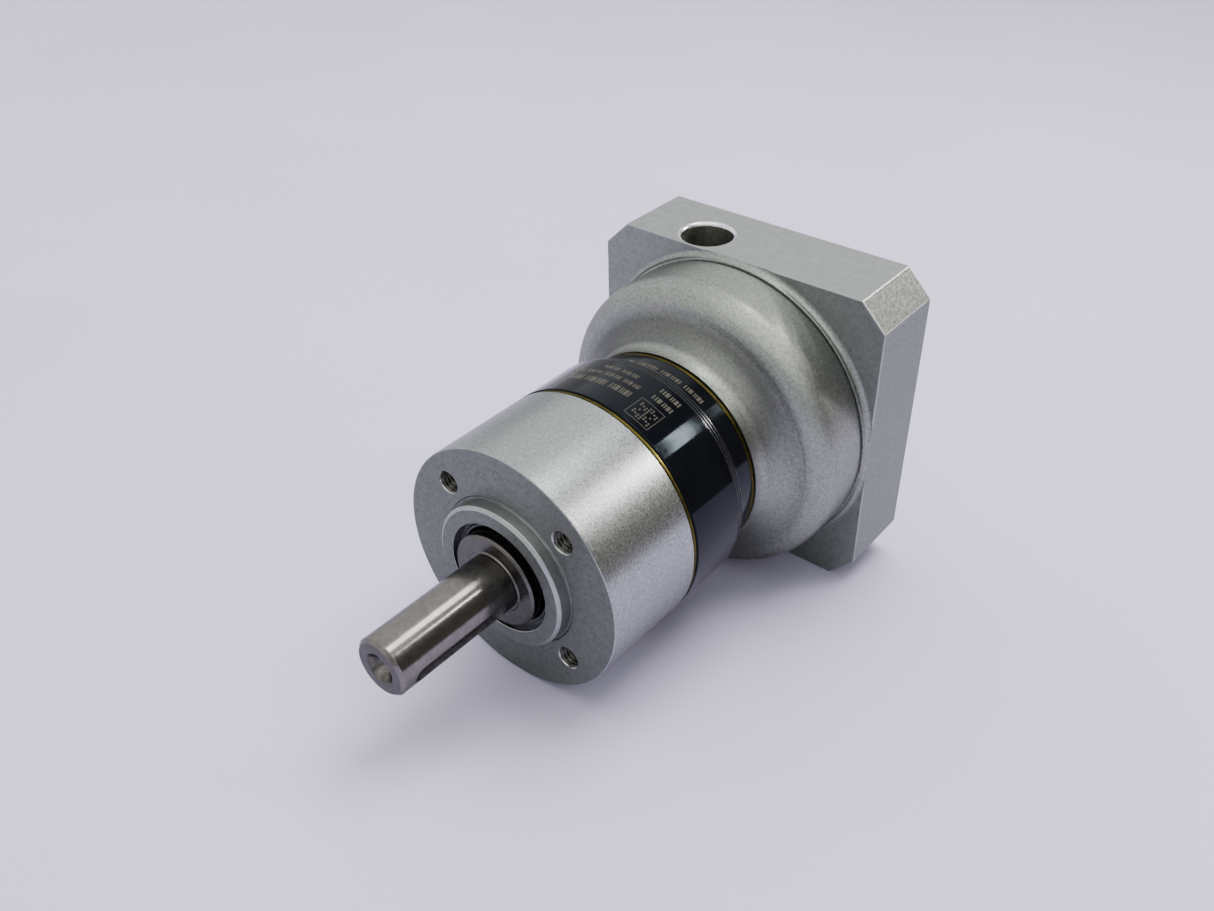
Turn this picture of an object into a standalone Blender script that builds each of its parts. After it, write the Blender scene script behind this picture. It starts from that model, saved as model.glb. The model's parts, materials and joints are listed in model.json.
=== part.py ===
"""Single-stage in-line planetary gearbox with a round output housing and a square motor flange.

Metres, +Z up. The gear axis lies along Y: the output shaft points to -Y and the motor face to +Y.
Places along the axis are stations, in millimetres behind the output mounting face.
"""

import math

import bmesh
import bpy
from mathutils import Matrix, Vector

MM = 0.001

# Overall sizes, in millimetres
SHAFT_END = -27.2          # station of the output shaft's tip
MOTOR_FACE = 78.5          # station of the motor mounting face
FLANGE_FRONT = 62.1
FLANGE_SIDE = 60.0
FLANGE_CHAMFER = 5.0
BODY_R = 22.0
NECK_R = 19.7              # narrow rear part of the ring gear section
SPIGOT_R = 13.0            # centring boss on the output face
SPIGOT_HEIGHT = 2.4
SHAFT_R = 5.0
COLLAR_R = 8.35            # seal land of the output shaft
KEYWAY_WIDTH = 3.0
KEYWAY_FLOOR = 3.2         # distance of the keyway's floor from the axis
KEYWAY_FRONT = -24.6
KEYWAY_BACK = -5.8
KEYWAY_DEG = -17.0         # from +X towards +Z

# Screw holes
OUTPUT_HOLE_CIRCLE_R = 17.0
OUTPUT_HOLE_R = 1.65
OUTPUT_HOLE_DEPTH = 8.0
MOTOR_HOLE_CIRCLE_R = 35.0
MOTOR_HOLE_R = 2.1
MOTOR_HOLE_DEPTH = 11.0

# Motor side
PILOT_R = 25.0
PILOT_DEPTH = 3.5
CAVITY_R = 20.5
CAVITY_FRONT = 55.5
MOTOR_BORE_R = 5.5
CLAMP_STATION = 67.6       # middle of the clamp ring and of the access hole
CLAMP_WIDTH = 11.5
CLAMP_SCREW_X = -10.4
ACCESS_HOLE_R = 4.8

# Gear set: one fixed ring, one sun, three planets
MODULE = 0.7
SUN_TEETH = 12
PLANET_TEETH = 18
RING_TEETH = SUN_TEETH + 2 * PLANET_TEETH
PLANETS = 3
PRESSURE_ANGLE = math.radians(20)
ADDENDUM = 0.85 * MODULE
DEDENDUM = 1.15 * MODULE
FLANK_CLEARANCE = 0.05     # on each flank, measured along the pitch circle
CENTRE_DISTANCE = MODULE * (SUN_TEETH + PLANET_TEETH) / 2
PLANET_FRONT = 24.2
PLANET_BACK = 35.2
PIN_R = 2.5
NEEDLE_R = 0.72
NEEDLES = 7
NEEDLE_CIRCLE_R = 3.3
PLANET_BORE_R = 4.1

FIT = 0.05                 # gap between seated pieces
WIDE, MEDIUM, FINE = 36, 28, 20   # facets round large, middling and small pieces

MIDDLE = (SHAFT_END + MOTOR_FACE) / 2

ALUMINIUM = ((0.62, 0.63, 0.64), 0.42, 0.9)
GROUND_STEEL = ((0.50, 0.50, 0.51), 0.2, 1.0)
BEARING_STEEL = ((0.58, 0.58, 0.60), 0.18, 1.0)
GEAR_STEEL = ((0.36, 0.35, 0.34), 0.35, 1.0)
BROWNED_STEEL = ((0.16, 0.12, 0.05), 0.4, 0.8)
SPRING_STEEL = ((0.10, 0.10, 0.11), 0.4, 0.9)
BLACK_FILM = ((0.008, 0.009, 0.013), 0.12, 0.0)
BLACK_RUBBER = ((0.012, 0.016, 0.018), 0.5, 0.0)
BRONZE = ((0.50, 0.32, 0.12), 0.35, 1.0)
CAGE_STEEL = ((0.45, 0.43, 0.38), 0.4, 1.0)


def clear_scene():
    for old in list(bpy.data.objects):
        bpy.data.objects.remove(old, do_unlink=True)


def new_collection(name):
    made = bpy.data.collections.new(name)
    bpy.context.scene.collection.children.link(made)
    return made


def along(station):
    """The Y coordinate, in metres, of a station in millimetres."""
    return (station - MIDDLE) * MM


def round_place(radius, angle_deg, station=MIDDLE):
    """A point at a radius in millimetres and an angle from +X towards +Z."""
    angle = math.radians(angle_deg)
    return Vector((radius * MM * math.cos(angle), along(station), radius * MM * math.sin(angle)))


def finish(obj, finish_values):
    colour, roughness, metallic = finish_values
    made = bpy.data.materials.new(obj.name)
    made.use_nodes = True
    shader = made.node_tree.nodes["Principled BSDF"]
    shader.inputs["Base Color"].default_value = (*colour, 1.0)
    shader.inputs["Roughness"].default_value = roughness
    shader.inputs["Metallic"].default_value = metallic
    made.diffuse_color = (*colour, 1.0)
    obj.data.materials.clear()
    obj.data.materials.append(made)


def add_object(name, mesh, collection, finish_values=None, parent=None):
    obj = bpy.data.objects.new(name, mesh)
    collection.objects.link(obj)
    obj.parent = parent
    if collection is cutters:
        obj.hide_render = True
        obj.display_type = "WIRE"
    if finish_values:
        finish(obj, finish_values)
    return obj


def settle(obj, angle_deg=35):
    """Applies an object's modifiers, then shades it smooth between its sharp edges."""
    graph = bpy.context.evaluated_depsgraph_get()
    shape = bpy.data.meshes.new_from_object(obj.evaluated_get(graph))
    obj.modifiers.clear()
    obj.data = shape
    shape.name = obj.name
    shape.shade_smooth()
    shape.set_sharp_from_angle(angle=math.radians(angle_deg))


def turned(name, profile, facets, finish_values=None, parent=None, collection=None):
    """A solid turned about the local Y axis from (station, radius) points.

    The profile is a closed loop, or runs from the axis back to the axis for a solid centre.
    """
    points = [Vector((radius * MM, along(station), 0)) for station, radius in profile]
    loop = profile[0][1] > 0
    area = sum(a.x * b.y - b.x * a.y for a, b in zip(points, points[1:] + points[:1]))
    if area > 0:
        points.reverse()
    mesh = bpy.data.meshes.new(name)
    edges = [(i, i + 1) for i in range(len(points) - 1)]
    if loop:
        edges.append((len(points) - 1, 0))
    mesh.from_pydata(points, edges, [])
    obj = add_object(name, mesh, collection or parts, finish_values, parent)
    screw = obj.modifiers.new("turn", "SCREW")
    screw.axis = "Y"
    screw.steps = screw.render_steps = facets
    screw.use_merge_vertices = True
    screw.merge_threshold = 1e-6
    screw.use_smooth_shade = False
    return obj


def cut(obj, cutter, operation="DIFFERENCE"):
    boolean = obj.modifiers.new(cutter.name, "BOOLEAN")
    boolean.operation = operation
    boolean.solver = "EXACT"
    boolean.object = cutter


def mesh_cutter(name, build):
    """A cutter whose shapes are added to one bmesh by build."""
    made = bmesh.new()
    build(made)
    bmesh.ops.recalc_face_normals(made, faces=made.faces)
    mesh = bpy.data.meshes.new(name)
    made.to_mesh(mesh)
    made.free()
    return add_object(name, mesh, cutters)


def add_cylinder(made, radius, start, end, facets=12, end_radius=None):
    """A cylinder between two points in metres, its radii in millimetres."""
    axis = end - start
    turn = axis.to_track_quat("Z", "Y").to_matrix().to_4x4()
    bmesh.ops.create_cone(
        made, cap_ends=True, segments=facets, depth=axis.length,
        radius1=radius * MM, radius2=(radius if end_radius is None else end_radius) * MM,
        matrix=Matrix.Translation((start + end) / 2) @ turn)


def add_box(made, low, high):
    """A box between two corners in metres."""
    size = high - low
    bmesh.ops.create_cube(
        made, size=1.0, matrix=Matrix.Translation((low + high) / 2) @ Matrix.Diagonal((*size, 1.0)))


def add_drilling(made, radius, start, end, facets=12):
    """A drilled hole's shape: a cylinder whose far end is a blunt cone."""
    add_cylinder(made, radius, start, end, facets)
    made.faces.ensure_lookup_table()
    far_cap = min(made.faces, key=lambda face: (face.calc_center_median() - end).length)
    tip = bmesh.ops.poke(made, faces=[far_cap])["verts"][0]
    tip.co += (end - start).normalized() * radius * 0.55 * MM


def hole_ring_cutter(name, circle_r, hole_r, mouth, floor, first_deg, count=4):
    """Blind holes on a circle, drilled from station mouth to station floor."""
    def build(made):
        outward = -1 if floor > mouth else 1
        for i in range(count):
            angle = first_deg + 360 * i / count
            add_drilling(made, hole_r, round_place(circle_r, angle, mouth + outward),
                         round_place(circle_r, angle, floor))
    return mesh_cutter(name, build)


def flat_solid(name, outlines, front, back, place=Vector((0, 0, 0))):
    """A mesh extruded along Y between two stations, from closed (x, z) outlines in millimetres."""
    curve = bpy.data.curves.new(name, "CURVE")
    curve.dimensions = "2D"
    curve.fill_mode = "BOTH"
    curve.extrude = (back - front) * MM / 2
    for outline in outlines:
        spline = curve.splines.new("POLY")
        spline.points.add(len(outline) - 1)
        for point, (x, z) in zip(spline.points, outline):
            point.co = (x * MM, -z * MM, 0, 1)
        spline.use_cyclic_u = True
    temporary = bpy.data.objects.new(name + "_outline", curve)
    bpy.context.scene.collection.objects.link(temporary)
    bpy.context.view_layer.update()
    mesh = bpy.data.meshes.new_from_object(
        temporary.evaluated_get(bpy.context.evaluated_depsgraph_get()))
    bpy.data.objects.remove(temporary, do_unlink=True)
    bpy.data.curves.remove(curve)
    welded = bmesh.new()
    welded.from_mesh(mesh)
    bmesh.ops.remove_doubles(welded, verts=welded.verts, dist=1e-7)
    turn = Matrix.Rotation(math.radians(-90), 4, "X")
    shift = Matrix.Translation(Vector((0, along((front + back) / 2), 0)) + place)
    bmesh.ops.transform(welded, matrix=shift @ turn, verts=welded.verts)
    bmesh.ops.recalc_face_normals(welded, faces=welded.faces)
    welded.to_mesh(mesh)
    welded.free()
    mesh.name = name
    return mesh


def circle_outline(radius, facets):
    return [(radius * math.cos(2 * math.pi * i / facets), radius * math.sin(2 * math.pi * i / facets))
            for i in range(facets)]


def gear_outline(teeth, tip_r, root_r, widen, first_deg=0.0, flank_points=3):
    """Involute teeth as (x, z) points; widen grows each tooth along the pitch circle."""
    pitch_r = MODULE * teeth / 2
    base_r = pitch_r * math.cos(PRESSURE_ANGLE)

    def involute(radius):
        angle = math.acos(min(1.0, base_r / radius))
        return math.tan(angle) - angle

    pitch_involute = math.tan(PRESSURE_ANGLE) - PRESSURE_ANGLE
    half_at_pitch = math.pi / (2 * teeth) + widen / pitch_r
    radii = [root_r + (tip_r - root_r) * i / (flank_points - 1) for i in range(flank_points)]
    halves = [half_at_pitch + pitch_involute - involute(max(radius, base_r)) for radius in radii]
    outline = []
    for tooth in range(teeth):
        centre = math.radians(first_deg) + 2 * math.pi * tooth / teeth
        rising = [(radius, centre - half) for radius, half in zip(radii, halves)]
        falling = [(radius, centre + half) for radius, half in zip(radii, halves)]
        outline += rising + falling[::-1]
    return [(radius * math.cos(angle), radius * math.sin(angle)) for radius, angle in outline]


def arc(centre, radius, start_deg, end_deg, pieces):
    """Points of a profile arc about a (station, radius) centre, angles from the station axis."""
    points = []
    for i in range(pieces + 1):
        angle = math.radians(start_deg + (end_deg - start_deg) * i / pieces)
        points.append((centre[0] + radius * math.cos(angle), centre[1] + radius * math.sin(angle)))
    return points


def make_output_housing():
    """Round housing with the centring spigot, both bearing seats and a rear joint spigot."""
    profile = [
        (-SPIGOT_HEIGHT, 10.0), (-SPIGOT_HEIGHT, SPIGOT_R - 0.5), (0.5 - SPIGOT_HEIGHT, SPIGOT_R),
        (0, SPIGOT_R), (0, BODY_R - 0.2), (0.2, BODY_R), (20.1, BODY_R), (20.1, 17.9),
        (20.7, 17.9), (20.7, 17.0), (21.7, 17.0), (21.7, 17.9), (22.1, 17.9), (22.1, 16.15),
        (19.5, 16.15), (19.5, 16.8), (18.4, 16.8), (18.4, 16.15), (10.7, 16.15), (10.7, 13.12),
        (3.6, 13.12), (3.6, 11.5), (-1.2, 11.5), (-1.2, 10.0),
    ]
    housing = turned("output_housing", profile, WIDE, ALUMINIUM)
    cut(housing, hole_ring_cutter("output_screw_holes", OUTPUT_HOLE_CIRCLE_R, OUTPUT_HOLE_R,
                                  0, OUTPUT_HOLE_DEPTH, 45))


def make_ring_gear():
    """Internally toothed ring; its lips stay bare in front of and behind the black sleeve."""
    profile = [
        (20.4, 18.0), (20.4, BODY_R - 0.15), (20.95, BODY_R - 0.15), (20.95, 21.45), (33.0, 21.45),
        (33.0, NECK_R - 0.55), (40.35, NECK_R - 0.55), (40.35, NECK_R - 0.1), (41.0, NECK_R - 0.1),
        (41.0, 18.0), (38.6, 18.0), (38.6, 14.5), (22.4, 14.5), (22.4, 18.0),
    ]
    ring = turned("ring_gear", profile, WIDE, BROWNED_STEEL)
    pitch_r = MODULE * RING_TEETH / 2
    gaps = gear_outline(RING_TEETH, pitch_r + DEDENDUM, pitch_r - ADDENDUM, FLANK_CLEARANCE,
                        first_deg=180 / RING_TEETH, flank_points=2)
    mesh = flat_solid("ring_tooth_gaps", [gaps], 21.4, 39.6)
    cut(ring, add_object("ring_tooth_gaps", mesh, cutters))


def make_label_sleeve():
    """Shrunk black sleeve over both diameters of the ring gear, with two small steps between."""
    profile = [
        (21.1, 21.5), (21.1, 21.6), (21.5, BODY_R), (32.8, BODY_R), (33.4, 21.4), (33.8, 20.1),
        (34.3, NECK_R), (40.2, NECK_R), (40.2, NECK_R - 0.5), (33.1, NECK_R - 0.5), (33.1, 21.5),
    ]
    turned("label_sleeve", profile, WIDE, BLACK_FILM)


def bell_profile():
    """The bell's outer line: a concave flare off the neck, a rounded shoulder and a plain rim."""
    flare_r, flare_deg, shoulder_r = 7.0, 78.0, 5.1
    flare = arc((41.3, NECK_R + flare_r), flare_r, -90, -90 + flare_deg, 5)
    turn = math.radians(flare_deg)
    centre = (flare[-1][0] + shoulder_r * math.sin(turn), flare[-1][1] - shoulder_r * math.cos(turn))
    shoulder = arc(centre, shoulder_r, 90 + flare_deg, 90, 4)
    rim = [(60.5, 29.15), (60.5, 28.85), (60.8, 28.85), (60.8, 29.55), (FLANGE_FRONT + 1, 29.55)]
    return flare + shoulder[1:] + rim


def make_input_housing():
    """Bell and square motor flange in one piece, with the input bearing seat and clamp cavity."""
    half = FLANGE_SIDE / 2
    profile = [(38.9, 11.0), (38.9, 17.9), (39.5, 17.9), (39.5, 17.0), (40.5, 17.0), (40.5, 17.9),
               (41.3, 17.9)]
    profile += bell_profile()
    profile += [
        (MOTOR_FACE - 5, 29.55), (MOTOR_FACE - 5, CAVITY_R), (CAVITY_FRONT, CAVITY_R),
        (CAVITY_FRONT - 1, 13.12), (50.0, 13.12), (50.0, 13.7), (49.1, 13.7), (49.1, 13.12),
        (43.5, 13.12), (43.5, 11.0),
    ]
    housing = turned("input_housing", profile, WIDE, ALUMINIUM)

    corner = half - FLANGE_CHAMFER
    outline = [(half, -corner), (half, corner), (corner, half), (-corner, half), (-half, corner),
               (-half, -corner), (-corner, -half), (corner, -half)]
    flange = flat_solid("flange_plate", [outline], FLANGE_FRONT, MOTOR_FACE)
    cut(housing, add_object("flange_plate", flange, cutters), "UNION")

    pilot = turned("pilot_recess", [(MOTOR_FACE - PILOT_DEPTH, 0), (MOTOR_FACE - PILOT_DEPTH, PILOT_R),
                                    (MOTOR_FACE + 1, PILOT_R), (MOTOR_FACE + 1, 0)],
                   WIDE, collection=cutters)
    cut(housing, pilot)
    cavity = turned("clamp_cavity", [(CAVITY_FRONT, 0), (CAVITY_FRONT, CAVITY_R),
                                     (MOTOR_FACE, CAVITY_R), (MOTOR_FACE, 0)],
                    WIDE, collection=cutters)
    cut(housing, cavity)
    cut(housing, hole_ring_cutter("motor_screw_holes", MOTOR_HOLE_CIRCLE_R, MOTOR_HOLE_R,
                                  MOTOR_FACE, MOTOR_FACE - MOTOR_HOLE_DEPTH, 45))

    def access(made):
        top = Vector((CLAMP_SCREW_X * MM, along(CLAMP_STATION), (half + 1) * MM))
        add_cylinder(made, ACCESS_HOLE_R, top - Vector((0, 0, 0.018)), top, 20)
    cut(housing, mesh_cutter("access_hole", access))


def make_seal(name, outer_r, lip_r, front, back):
    """Radial shaft seal: an outer band, a web and a lip that stands just clear of the shaft."""
    profile = [
        (front, outer_r), (back, outer_r), (back, outer_r - 0.9), (front + 1.1, outer_r - 0.9),
        (front + 1.1, lip_r + 0.9), (back - 0.4, lip_r + 0.7), (front + 1.2, lip_r),
        (front, lip_r + 0.4),
    ]
    return turned(name, profile, MEDIUM, BLACK_RUBBER)


def make_retaining_ring(name, inner_r, outer_r, front, back, gap_deg, gap_width, parent=None):
    """A spring ring, open at one side."""
    ring = turned(name, [(front, inner_r), (front, outer_r), (back, outer_r), (back, inner_r)],
                  FINE, SPRING_STEEL, parent)

    def gap(made):
        low = Vector((0, along(front - 1), -gap_width / 2 * MM))
        high = Vector((outer_r * 1.2 * MM, along(back + 1), gap_width / 2 * MM))
        add_box(made, low, high)
        turn = Matrix.Rotation(math.radians(-gap_deg), 4, "Y")
        bmesh.ops.transform(made, matrix=turn, verts=made.verts)
    cut(ring, mesh_cutter(name + "_gap", gap))


def make_bearing(prefix, bore_r, outside_r, front, width, balls, shaft_group, cage_group):
    """Deep groove ball bearing: two grooved rings, and the balls held in their cage."""
    middle_r = (bore_r + outside_r) / 2
    ball_r = (outside_r - bore_r) * 0.28
    land = 0.6 * ball_r
    groove = [(-0.96, 0.6), (0, 1.3), (0.96, 0.6)]
    centre = front + width / 2
    outer_profile = [(front, outside_r), (front, middle_r + land)]
    inner_profile = [(front, bore_r), (front, middle_r - land)]
    for offset, depth in groove:
        outer_profile.append((centre + offset * ball_r, middle_r + depth * ball_r))
        inner_profile.append((centre + offset * ball_r, middle_r - depth * ball_r))
    outer_profile += [(front + width, middle_r + land), (front + width, outside_r)]
    inner_profile += [(front + width, middle_r - land), (front + width, bore_r)]
    turned(prefix + "_outer_ring", outer_profile, MEDIUM, BEARING_STEEL)
    turned(prefix + "_inner_ring", inner_profile, MEDIUM, BEARING_STEEL, shaft_group)

    band = 0.28 * ball_r
    half_width = min(1.25 * ball_r, width / 2 - 0.3)
    cage = turned(prefix + "_ball_cage",
                  [(centre - half_width, middle_r - band), (centre - half_width, middle_r + band),
                   (centre + half_width, middle_r + band), (centre + half_width, middle_r - band)],
                  FINE, CAGE_STEEL, cage_group)

    def ball_set(made):
        for i in range(balls):
            place = round_place(middle_r, 360 * i / balls, centre)
            bmesh.ops.create_uvsphere(made, u_segments=6, v_segments=4, radius=ball_r * MM,
                                      matrix=Matrix.Translation(place))
    cut(cage, mesh_cutter(prefix + "_balls", ball_set), "UNION")


def make_output_shaft(group):
    """Keyed output shaft in one piece with the planet carrier's front cheek and its three posts."""
    profile = [
        (SHAFT_END, 0), (SHAFT_END, SHAFT_R - 0.5), (SHAFT_END + 0.5, SHAFT_R), (-4.0, SHAFT_R),
        (-3.9, SHAFT_R - 0.15), (-3.4, SHAFT_R - 0.15), (-3.4, COLLAR_R - 0.3), (-3.1, COLLAR_R),
        (2.7, COLLAR_R), (2.7, 7.9), (3.5, 7.9), (3.5, 8.45), (8.95, 8.45), (8.95, 9.95),
        (18.2, 9.95), (18.2, 12.2), (19.9, 12.2), (19.9, 15.3), (23.3, 15.3), (23.3, 5.6),
        (22.0, 5.6), (22.0, 0),
    ]
    shaft = turned("output_shaft", profile, MEDIUM, GROUND_STEEL, group)

    hole = turned("centre_hole", [(SHAFT_END - 1, 0), (SHAFT_END - 1, 2.7), (SHAFT_END, 2.7),
                                  (SHAFT_END + 2.2, 1.3), (SHAFT_END + 9, 1.25),
                                  (SHAFT_END + 9.7, 0)], 16, collection=cutters)
    cut(shaft, hole)

    def keyway(made):
        segments, middle = 16, along((KEYWAY_FRONT + KEYWAY_BACK) / 2)
        half_run = ((KEYWAY_BACK - KEYWAY_FRONT) - KEYWAY_WIDTH) / 2 * MM
        turn = Matrix.Rotation(math.radians(90), 4, "Y") @ Matrix.Rotation(math.pi / segments, 4, "Z")
        centre = Vector((((SHAFT_R + 1) + KEYWAY_FLOOR) / 2 * MM, middle, 0))
        bmesh.ops.create_cone(
            made, cap_ends=True, segments=segments, depth=(SHAFT_R + 1 - KEYWAY_FLOOR) * MM,
            radius1=KEYWAY_WIDTH / 2 * MM, radius2=KEYWAY_WIDTH / 2 * MM,
            matrix=Matrix.Translation(centre) @ turn)
        for vertex in made.verts:
            vertex.co.y += math.copysign(half_run, vertex.co.y - middle)
        bmesh.ops.rotate(made, verts=made.verts, cent=Vector((0, 0, 0)),
                         matrix=Matrix.Rotation(math.radians(-KEYWAY_DEG), 3, "Y"))
    cut(shaft, mesh_cutter("keyway", keyway))

    def posts(made):
        for i in range(PLANETS):
            angle = 150 + 360 * i / PLANETS
            add_cylinder(made, 3.2, round_place(11.6, angle, 22.5), round_place(11.6, angle, 35.9), 16)
    cut(shaft, mesh_cutter("carrier_posts", posts), "UNION")

    def pin_seats(made):
        for i in range(PLANETS):
            angle = 90 + 360 * i / PLANETS
            add_cylinder(made, PIN_R + FIT, round_place(CENTRE_DISTANCE, angle, 20.4),
                         round_place(CENTRE_DISTANCE, angle, 24), 16)
    cut(shaft, mesh_cutter("pin_seats", pin_seats))


def make_carrier_plate(group):
    """Rear cheek of the planet carrier."""
    plate = turned("carrier_plate", [(36.1, 6.0), (36.1, 15.3), (38.3, 15.3), (38.3, 6.0)],
                   MEDIUM, GEAR_STEEL, group)

    def pin_holes(made):
        for i in range(PLANETS):
            angle = 90 + 360 * i / PLANETS
            add_cylinder(made, PIN_R + FIT, round_place(CENTRE_DISTANCE, angle, 35),
                         round_place(CENTRE_DISTANCE, angle, 40), 16)
    cut(plate, mesh_cutter("plate_pin_holes", pin_holes))


def make_washer(name, inner_r, outer_r, front, back, place, parent):
    washer = turned(name, [(front, inner_r), (front, outer_r), (back, outer_r), (back, inner_r)],
                    12, BRONZE, parent)
    washer.location = place
    return washer


def make_planet(number, output_group):
    """A planet gear with its pin, caged needle rollers and two thrust washers."""
    place = round_place(CENTRE_DISTANCE, 90 + 360 * (number - 1) / PLANETS)
    pin = turned(f"planet_pin_{number}", [(20.6, 0), (20.6, PIN_R), (38.3, PIN_R), (38.3, 0)],
                 16, BEARING_STEEL, output_group)
    pin.location = place
    make_washer(f"front_thrust_washer_{number}", PIN_R + 0.1, 5.0, 23.4, 24.0, place, output_group)
    make_washer(f"rear_thrust_washer_{number}", PIN_R + 0.1, 5.0, 35.4, 36.0, place, output_group)

    axis = bpy.data.objects.new(f"planet_axis_{number}", None)
    parts.objects.link(axis)
    axis.parent = output_group
    axis.location = place
    pitch_r = MODULE * PLANET_TEETH / 2
    toward_sun = math.degrees(math.atan2(-place.z, -place.x))
    outline = gear_outline(PLANET_TEETH, pitch_r + ADDENDUM, pitch_r - DEDENDUM, -FLANK_CLEARANCE,
                           first_deg=toward_sun + 180 / PLANET_TEETH)
    mesh = flat_solid(f"planet_gear_{number}", [outline, circle_outline(PLANET_BORE_R, FINE)],
                      PLANET_FRONT, PLANET_BACK)
    add_object(f"planet_gear_{number}", mesh, parts, GEAR_STEEL, axis)

    cage = turned(f"planet_needle_cage_{number}",
                  [(PLANET_FRONT + 0.3, 3.1), (PLANET_FRONT + 0.3, 3.5), (PLANET_BACK - 0.3, 3.5),
                   (PLANET_BACK - 0.3, 3.1)], 16, CAGE_STEEL, axis)

    def needles(made):
        for i in range(NEEDLES):
            angle = 360 * i / NEEDLES
            start = round_place(NEEDLE_CIRCLE_R, angle, PLANET_FRONT + 0.9)
            end = round_place(NEEDLE_CIRCLE_R, angle, PLANET_BACK - 0.9)
            add_cylinder(made, NEEDLE_R, start, end, 6)
    rollers = mesh_cutter(f"needles_{number}", needles)
    rollers.location = place
    cut(cage, rollers, "UNION")


def make_sun_gear(group):
    """Sun pinion with a plain shank that is pressed into the input hub."""
    pitch_r = MODULE * SUN_TEETH / 2
    outline = gear_outline(SUN_TEETH, pitch_r + ADDENDUM, pitch_r - DEDENDUM, -FLANK_CLEARANCE,
                           first_deg=90)
    mesh = flat_solid("sun_gear", [outline], 23.9, 37.0)
    sun = add_object("sun_gear", mesh, parts, GEAR_STEEL, group)
    shank = turned("sun_shank", [(36.0, 0), (36.0, 3.0), (46.0, 3.0), (46.0, 0)], FINE,
                   collection=cutters)
    cut(sun, shank, "UNION")


def make_input_hub(group):
    """Hollow hub: seat for the input bearing in front and a slit clamping sleeve behind."""
    profile = [
        (40.1, 3.05), (40.1, 9.8), (43.4, 9.8), (43.4, 8.45), (48.65, 8.45), (48.65, 8.0),
        (49.45, 8.0), (49.45, 8.4), (50.4, 8.4), (50.4, 8.2), (73.9, 8.2), (73.9, MOTOR_BORE_R),
        (51.0, MOTOR_BORE_R), (50.0, 3.05),
    ]
    hub = turned("input_hub", profile, MEDIUM, GROUND_STEEL, group)

    def slits(made):
        for low_x, high_x in ((-10, -4), (4, 10)):
            add_box(made, Vector((low_x * MM, along(57), -0.6 * MM)),
                    Vector((high_x * MM, along(75), 0.6 * MM)))
    cut(hub, mesh_cutter("hub_slits", slits))


def make_clamp(group):
    """Split clamp ring and the screw that closes it, which faces the access hole."""
    front, back = CLAMP_STATION - CLAMP_WIDTH / 2, CLAMP_STATION + CLAMP_WIDTH / 2
    ring = turned("clamp_ring",
                  [(front, 8.3), (front, 16.0), (front + 0.6, 16.6), (back - 0.6, 16.6),
                   (back, 16.0), (back, 8.3)], WIDE, GEAR_STEEL, group)

    def slit(made):
        add_box(made, Vector((-0.018, along(front - 1), -0.8 * MM)),
                Vector((-0.006, along(back + 1), 0.8 * MM)))
    cut(ring, mesh_cutter("clamp_slit", slit))

    def at(z):
        return Vector((CLAMP_SCREW_X * MM, along(CLAMP_STATION), z * MM))
    for name, radius, low, high in (("screw_head_seat", 3.7, 5.2, 20), ("screw_hole", 2.05, -20, 6)):
        cut(ring, mesh_cutter(name, lambda made, r=radius, a=low, b=high: add_cylinder(
            made, r, at(a), at(b), 20)))

    screw = bpy.data.meshes.new("clamp_screw")
    made = bmesh.new()
    add_cylinder(made, 2.0, at(-11.0), at(6.0), 16)
    made.to_mesh(screw)
    made.free()
    body = add_object("clamp_screw", screw, parts, SPRING_STEEL, group)
    cut(body, mesh_cutter("screw_head", lambda made: add_cylinder(made, 3.5, at(5.4), at(9.4), 20)),
        "UNION")
    cut(body, mesh_cutter("screw_socket", lambda made: add_cylinder(made, 1.73, at(7.4), at(10), 6)))


def make_o_ring(name, station):
    turned(name, arc((station, 17.53), 0.4, 0, 288, 4), MEDIUM, BLACK_RUBBER)


clear_scene()
parts = new_collection("planetary_gearbox")
cutters = new_collection("cutters")
output_axis = bpy.data.objects.new("output_axis", None)
input_axis = bpy.data.objects.new("input_axis", None)
for empty in (output_axis, input_axis):
    parts.objects.link(empty)

make_output_housing()
make_ring_gear()
make_label_sleeve()
make_input_housing()
make_seal("output_seal", 11.45, 8.45, -1.0, 2.5)
make_seal("input_seal", 13.0, 8.5, 50.4, 54.2)
make_bearing("front_bearing", 8.5, 13.0, 3.7, 5.0, 9, output_axis, None)
make_bearing("rear_bearing", 10.0, 16.0, 11.0, 7.0, 9, output_axis, None)
make_bearing("input_bearing", 8.5, 13.0, 43.6, 5.0, 9, input_axis, None)
make_retaining_ring("shaft_retaining_ring", 8.1, 9.6, 2.75, 3.45, 200, 4.0, output_axis)
make_retaining_ring("housing_retaining_ring", 15.1, 16.7, 18.45, 19.45, 90, 5.0)
make_retaining_ring("bearing_retaining_ring", 12.0, 13.65, 49.15, 49.95, 90, 5.0)
make_retaining_ring("hub_retaining_ring", 8.2, 9.6, 48.7, 49.4, 200, 4.0, input_axis)
make_output_shaft(output_axis)
make_carrier_plate(output_axis)
for planet in range(1, PLANETS + 1):
    make_planet(planet, output_axis)
make_sun_gear(input_axis)
make_input_hub(input_axis)
make_clamp(input_axis)
make_o_ring("front_o_ring", 21.2)
make_o_ring("rear_o_ring", 40.0)

for piece in list(parts.objects):
    if piece.type == "MESH":
        settle(piece)
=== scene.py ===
"""Looks for the planetary gearbox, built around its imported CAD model.

Metres, +Z up, the gear axis along Y. Places along the axis are stations, in millimetres behind the
output mounting face, and profiles are (station, radius) pairs in millimetres.
"""

import json
import math

import bmesh
import bpy
from mathutils import Matrix, Vector


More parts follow.
